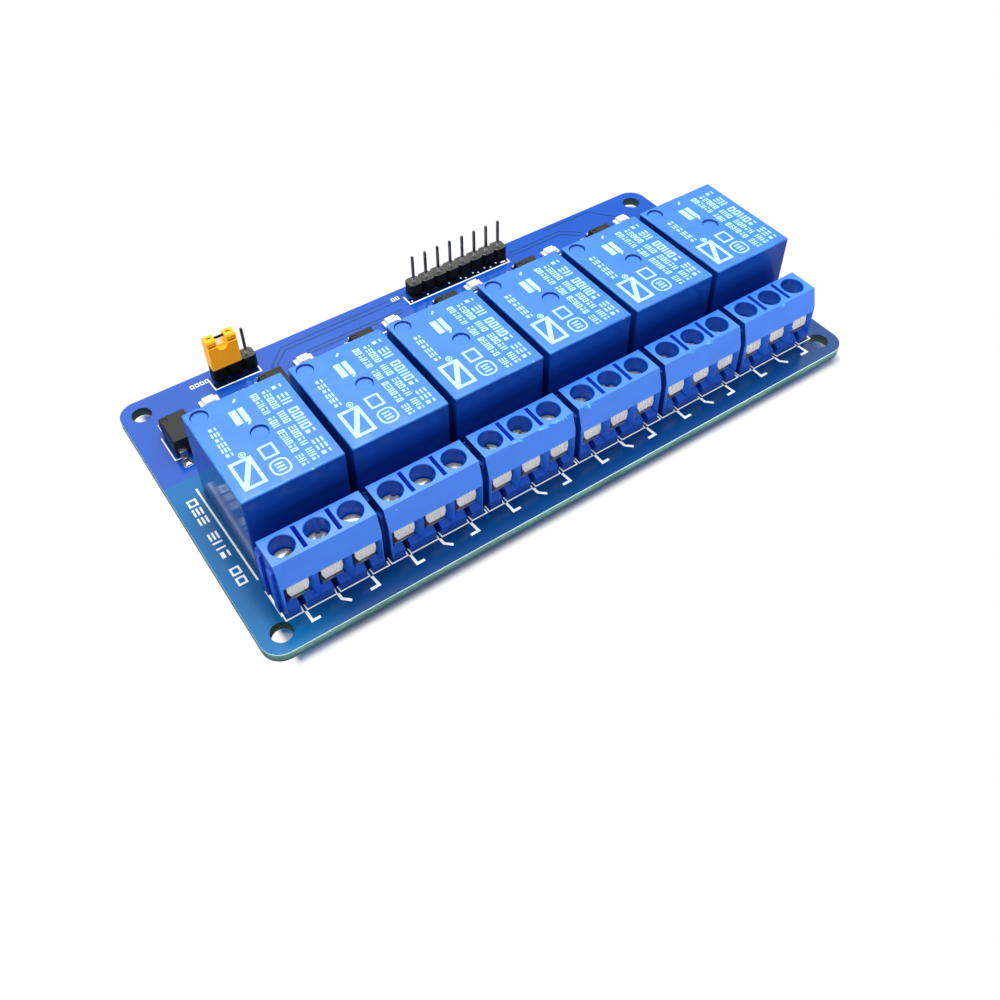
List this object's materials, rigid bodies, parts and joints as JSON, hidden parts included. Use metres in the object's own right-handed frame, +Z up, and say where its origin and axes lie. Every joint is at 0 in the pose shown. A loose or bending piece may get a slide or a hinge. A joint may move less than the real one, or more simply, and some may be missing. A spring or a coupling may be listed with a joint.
{
  "type": "relay module board",
  "caption": "Blue relay module board with a row of sealed relays, screw terminal blocks along the front edge, a control pin header and a jumper cap.",
  "frame": {"origin": "centre of the four mounting holes, on the underside of the board", "axes": "+X along the row of relays, +Y from the screw terminals to the pin headers, +Z up out of the component side"},
  "size_m": [0.106, 0.055, 0.0185],
  "materials": {
    "solder_mask": "glass-fibre board under a glossy dark blue solder mask",
    "relay_blue": "moulded mid-blue plastic, smooth",
    "relay_base_blue": "moulded dark blue plastic",
    "tinned_copper": "tinned copper",
    "terminal_blue": "moulded bright blue plastic, satin",
    "screw_brass": "nickel-washed brass screws",
    "guard_nickel": "nickel-plated sheet steel, slightly warm",
    "contact_tin": "tinned brass strip",
    "header_black": "moulded black plastic",
    "header_pin_metal": "tinned square wire",
    "jumper_amber": "moulded amber-yellow plastic",
    "clip_brass": "spring brass",
    "opto_black": "moulded black epoxy",
    "indicator_white": "milky epoxy lens",
    "chip_black": "black epoxy and glaze",
    "solder": "bright solder"
  },
  "bodies": {
    "root": {"circuit_board": "solder_mask", "relay_cover_1": "relay_blue", "relay_cover_2": "relay_blue", "relay_cover_3": "relay_blue", "relay_cover_4": "relay_blue", "relay_cover_5": "relay_blue", "relay_cover_6": "relay_blue", "relay_base_1": "relay_base_blue", "relay_base_2": "relay_base_blue", "relay_base_3": "relay_base_blue", "relay_base_4": "relay_base_blue", "relay_base_5": "relay_base_blue", "relay_base_6": "relay_base_blue", "relay_pins": "tinned_copper", "terminal_housing_1": "terminal_blue", "terminal_housing_2": "terminal_blue", "terminal_housing_3": "terminal_blue", "terminal_housing_4": "terminal_blue", "terminal_housing_5": "terminal_blue", "terminal_housing_6": "terminal_blue", "clamp_screws_1": "screw_brass", "clamp_screws_2": "screw_brass", "clamp_screws_3": "screw_brass", "clamp_screws_4": "screw_brass", "clamp_screws_5": "screw_brass", "clamp_screws_6": "screw_brass", "wire_guards_1": "guard_nickel", "wire_guards_2": "guard_nickel", "wire_guards_3": "guard_nickel", "wire_guards_4": "guard_nickel", "wire_guards_5": "guard_nickel", "wire_guards_6": "guard_nickel", "terminal_contacts_1": "contact_tin", "terminal_contacts_2": "contact_tin", "terminal_contacts_3": "contact_tin", "terminal_contacts_4": "contact_tin", "terminal_contacts_5": "contact_tin", "terminal_contacts_6": "contact_tin", "control_header_housing": "header_black", "control_header_pins": "header_pin_metal", "supply_header_housing": "header_black", "supply_header_pins": "header_pin_metal", "jumper_cap": "jumper_amber", "jumper_clip": "clip_brass", "optocoupler_1": "opto_black", "optocoupler_2": "opto_black", "optocoupler_3": "opto_black", "optocoupler_4": "opto_black", "optocoupler_5": "opto_black", "optocoupler_6": "opto_black", "optocoupler_leads": "tinned_copper", "indicators": "indicator_white", "resistors": "chip_black", "transistors": "chip_black", "flyback_diodes": "chip_black", "solder_joints": "solder"}
  },
  "joints": []
}
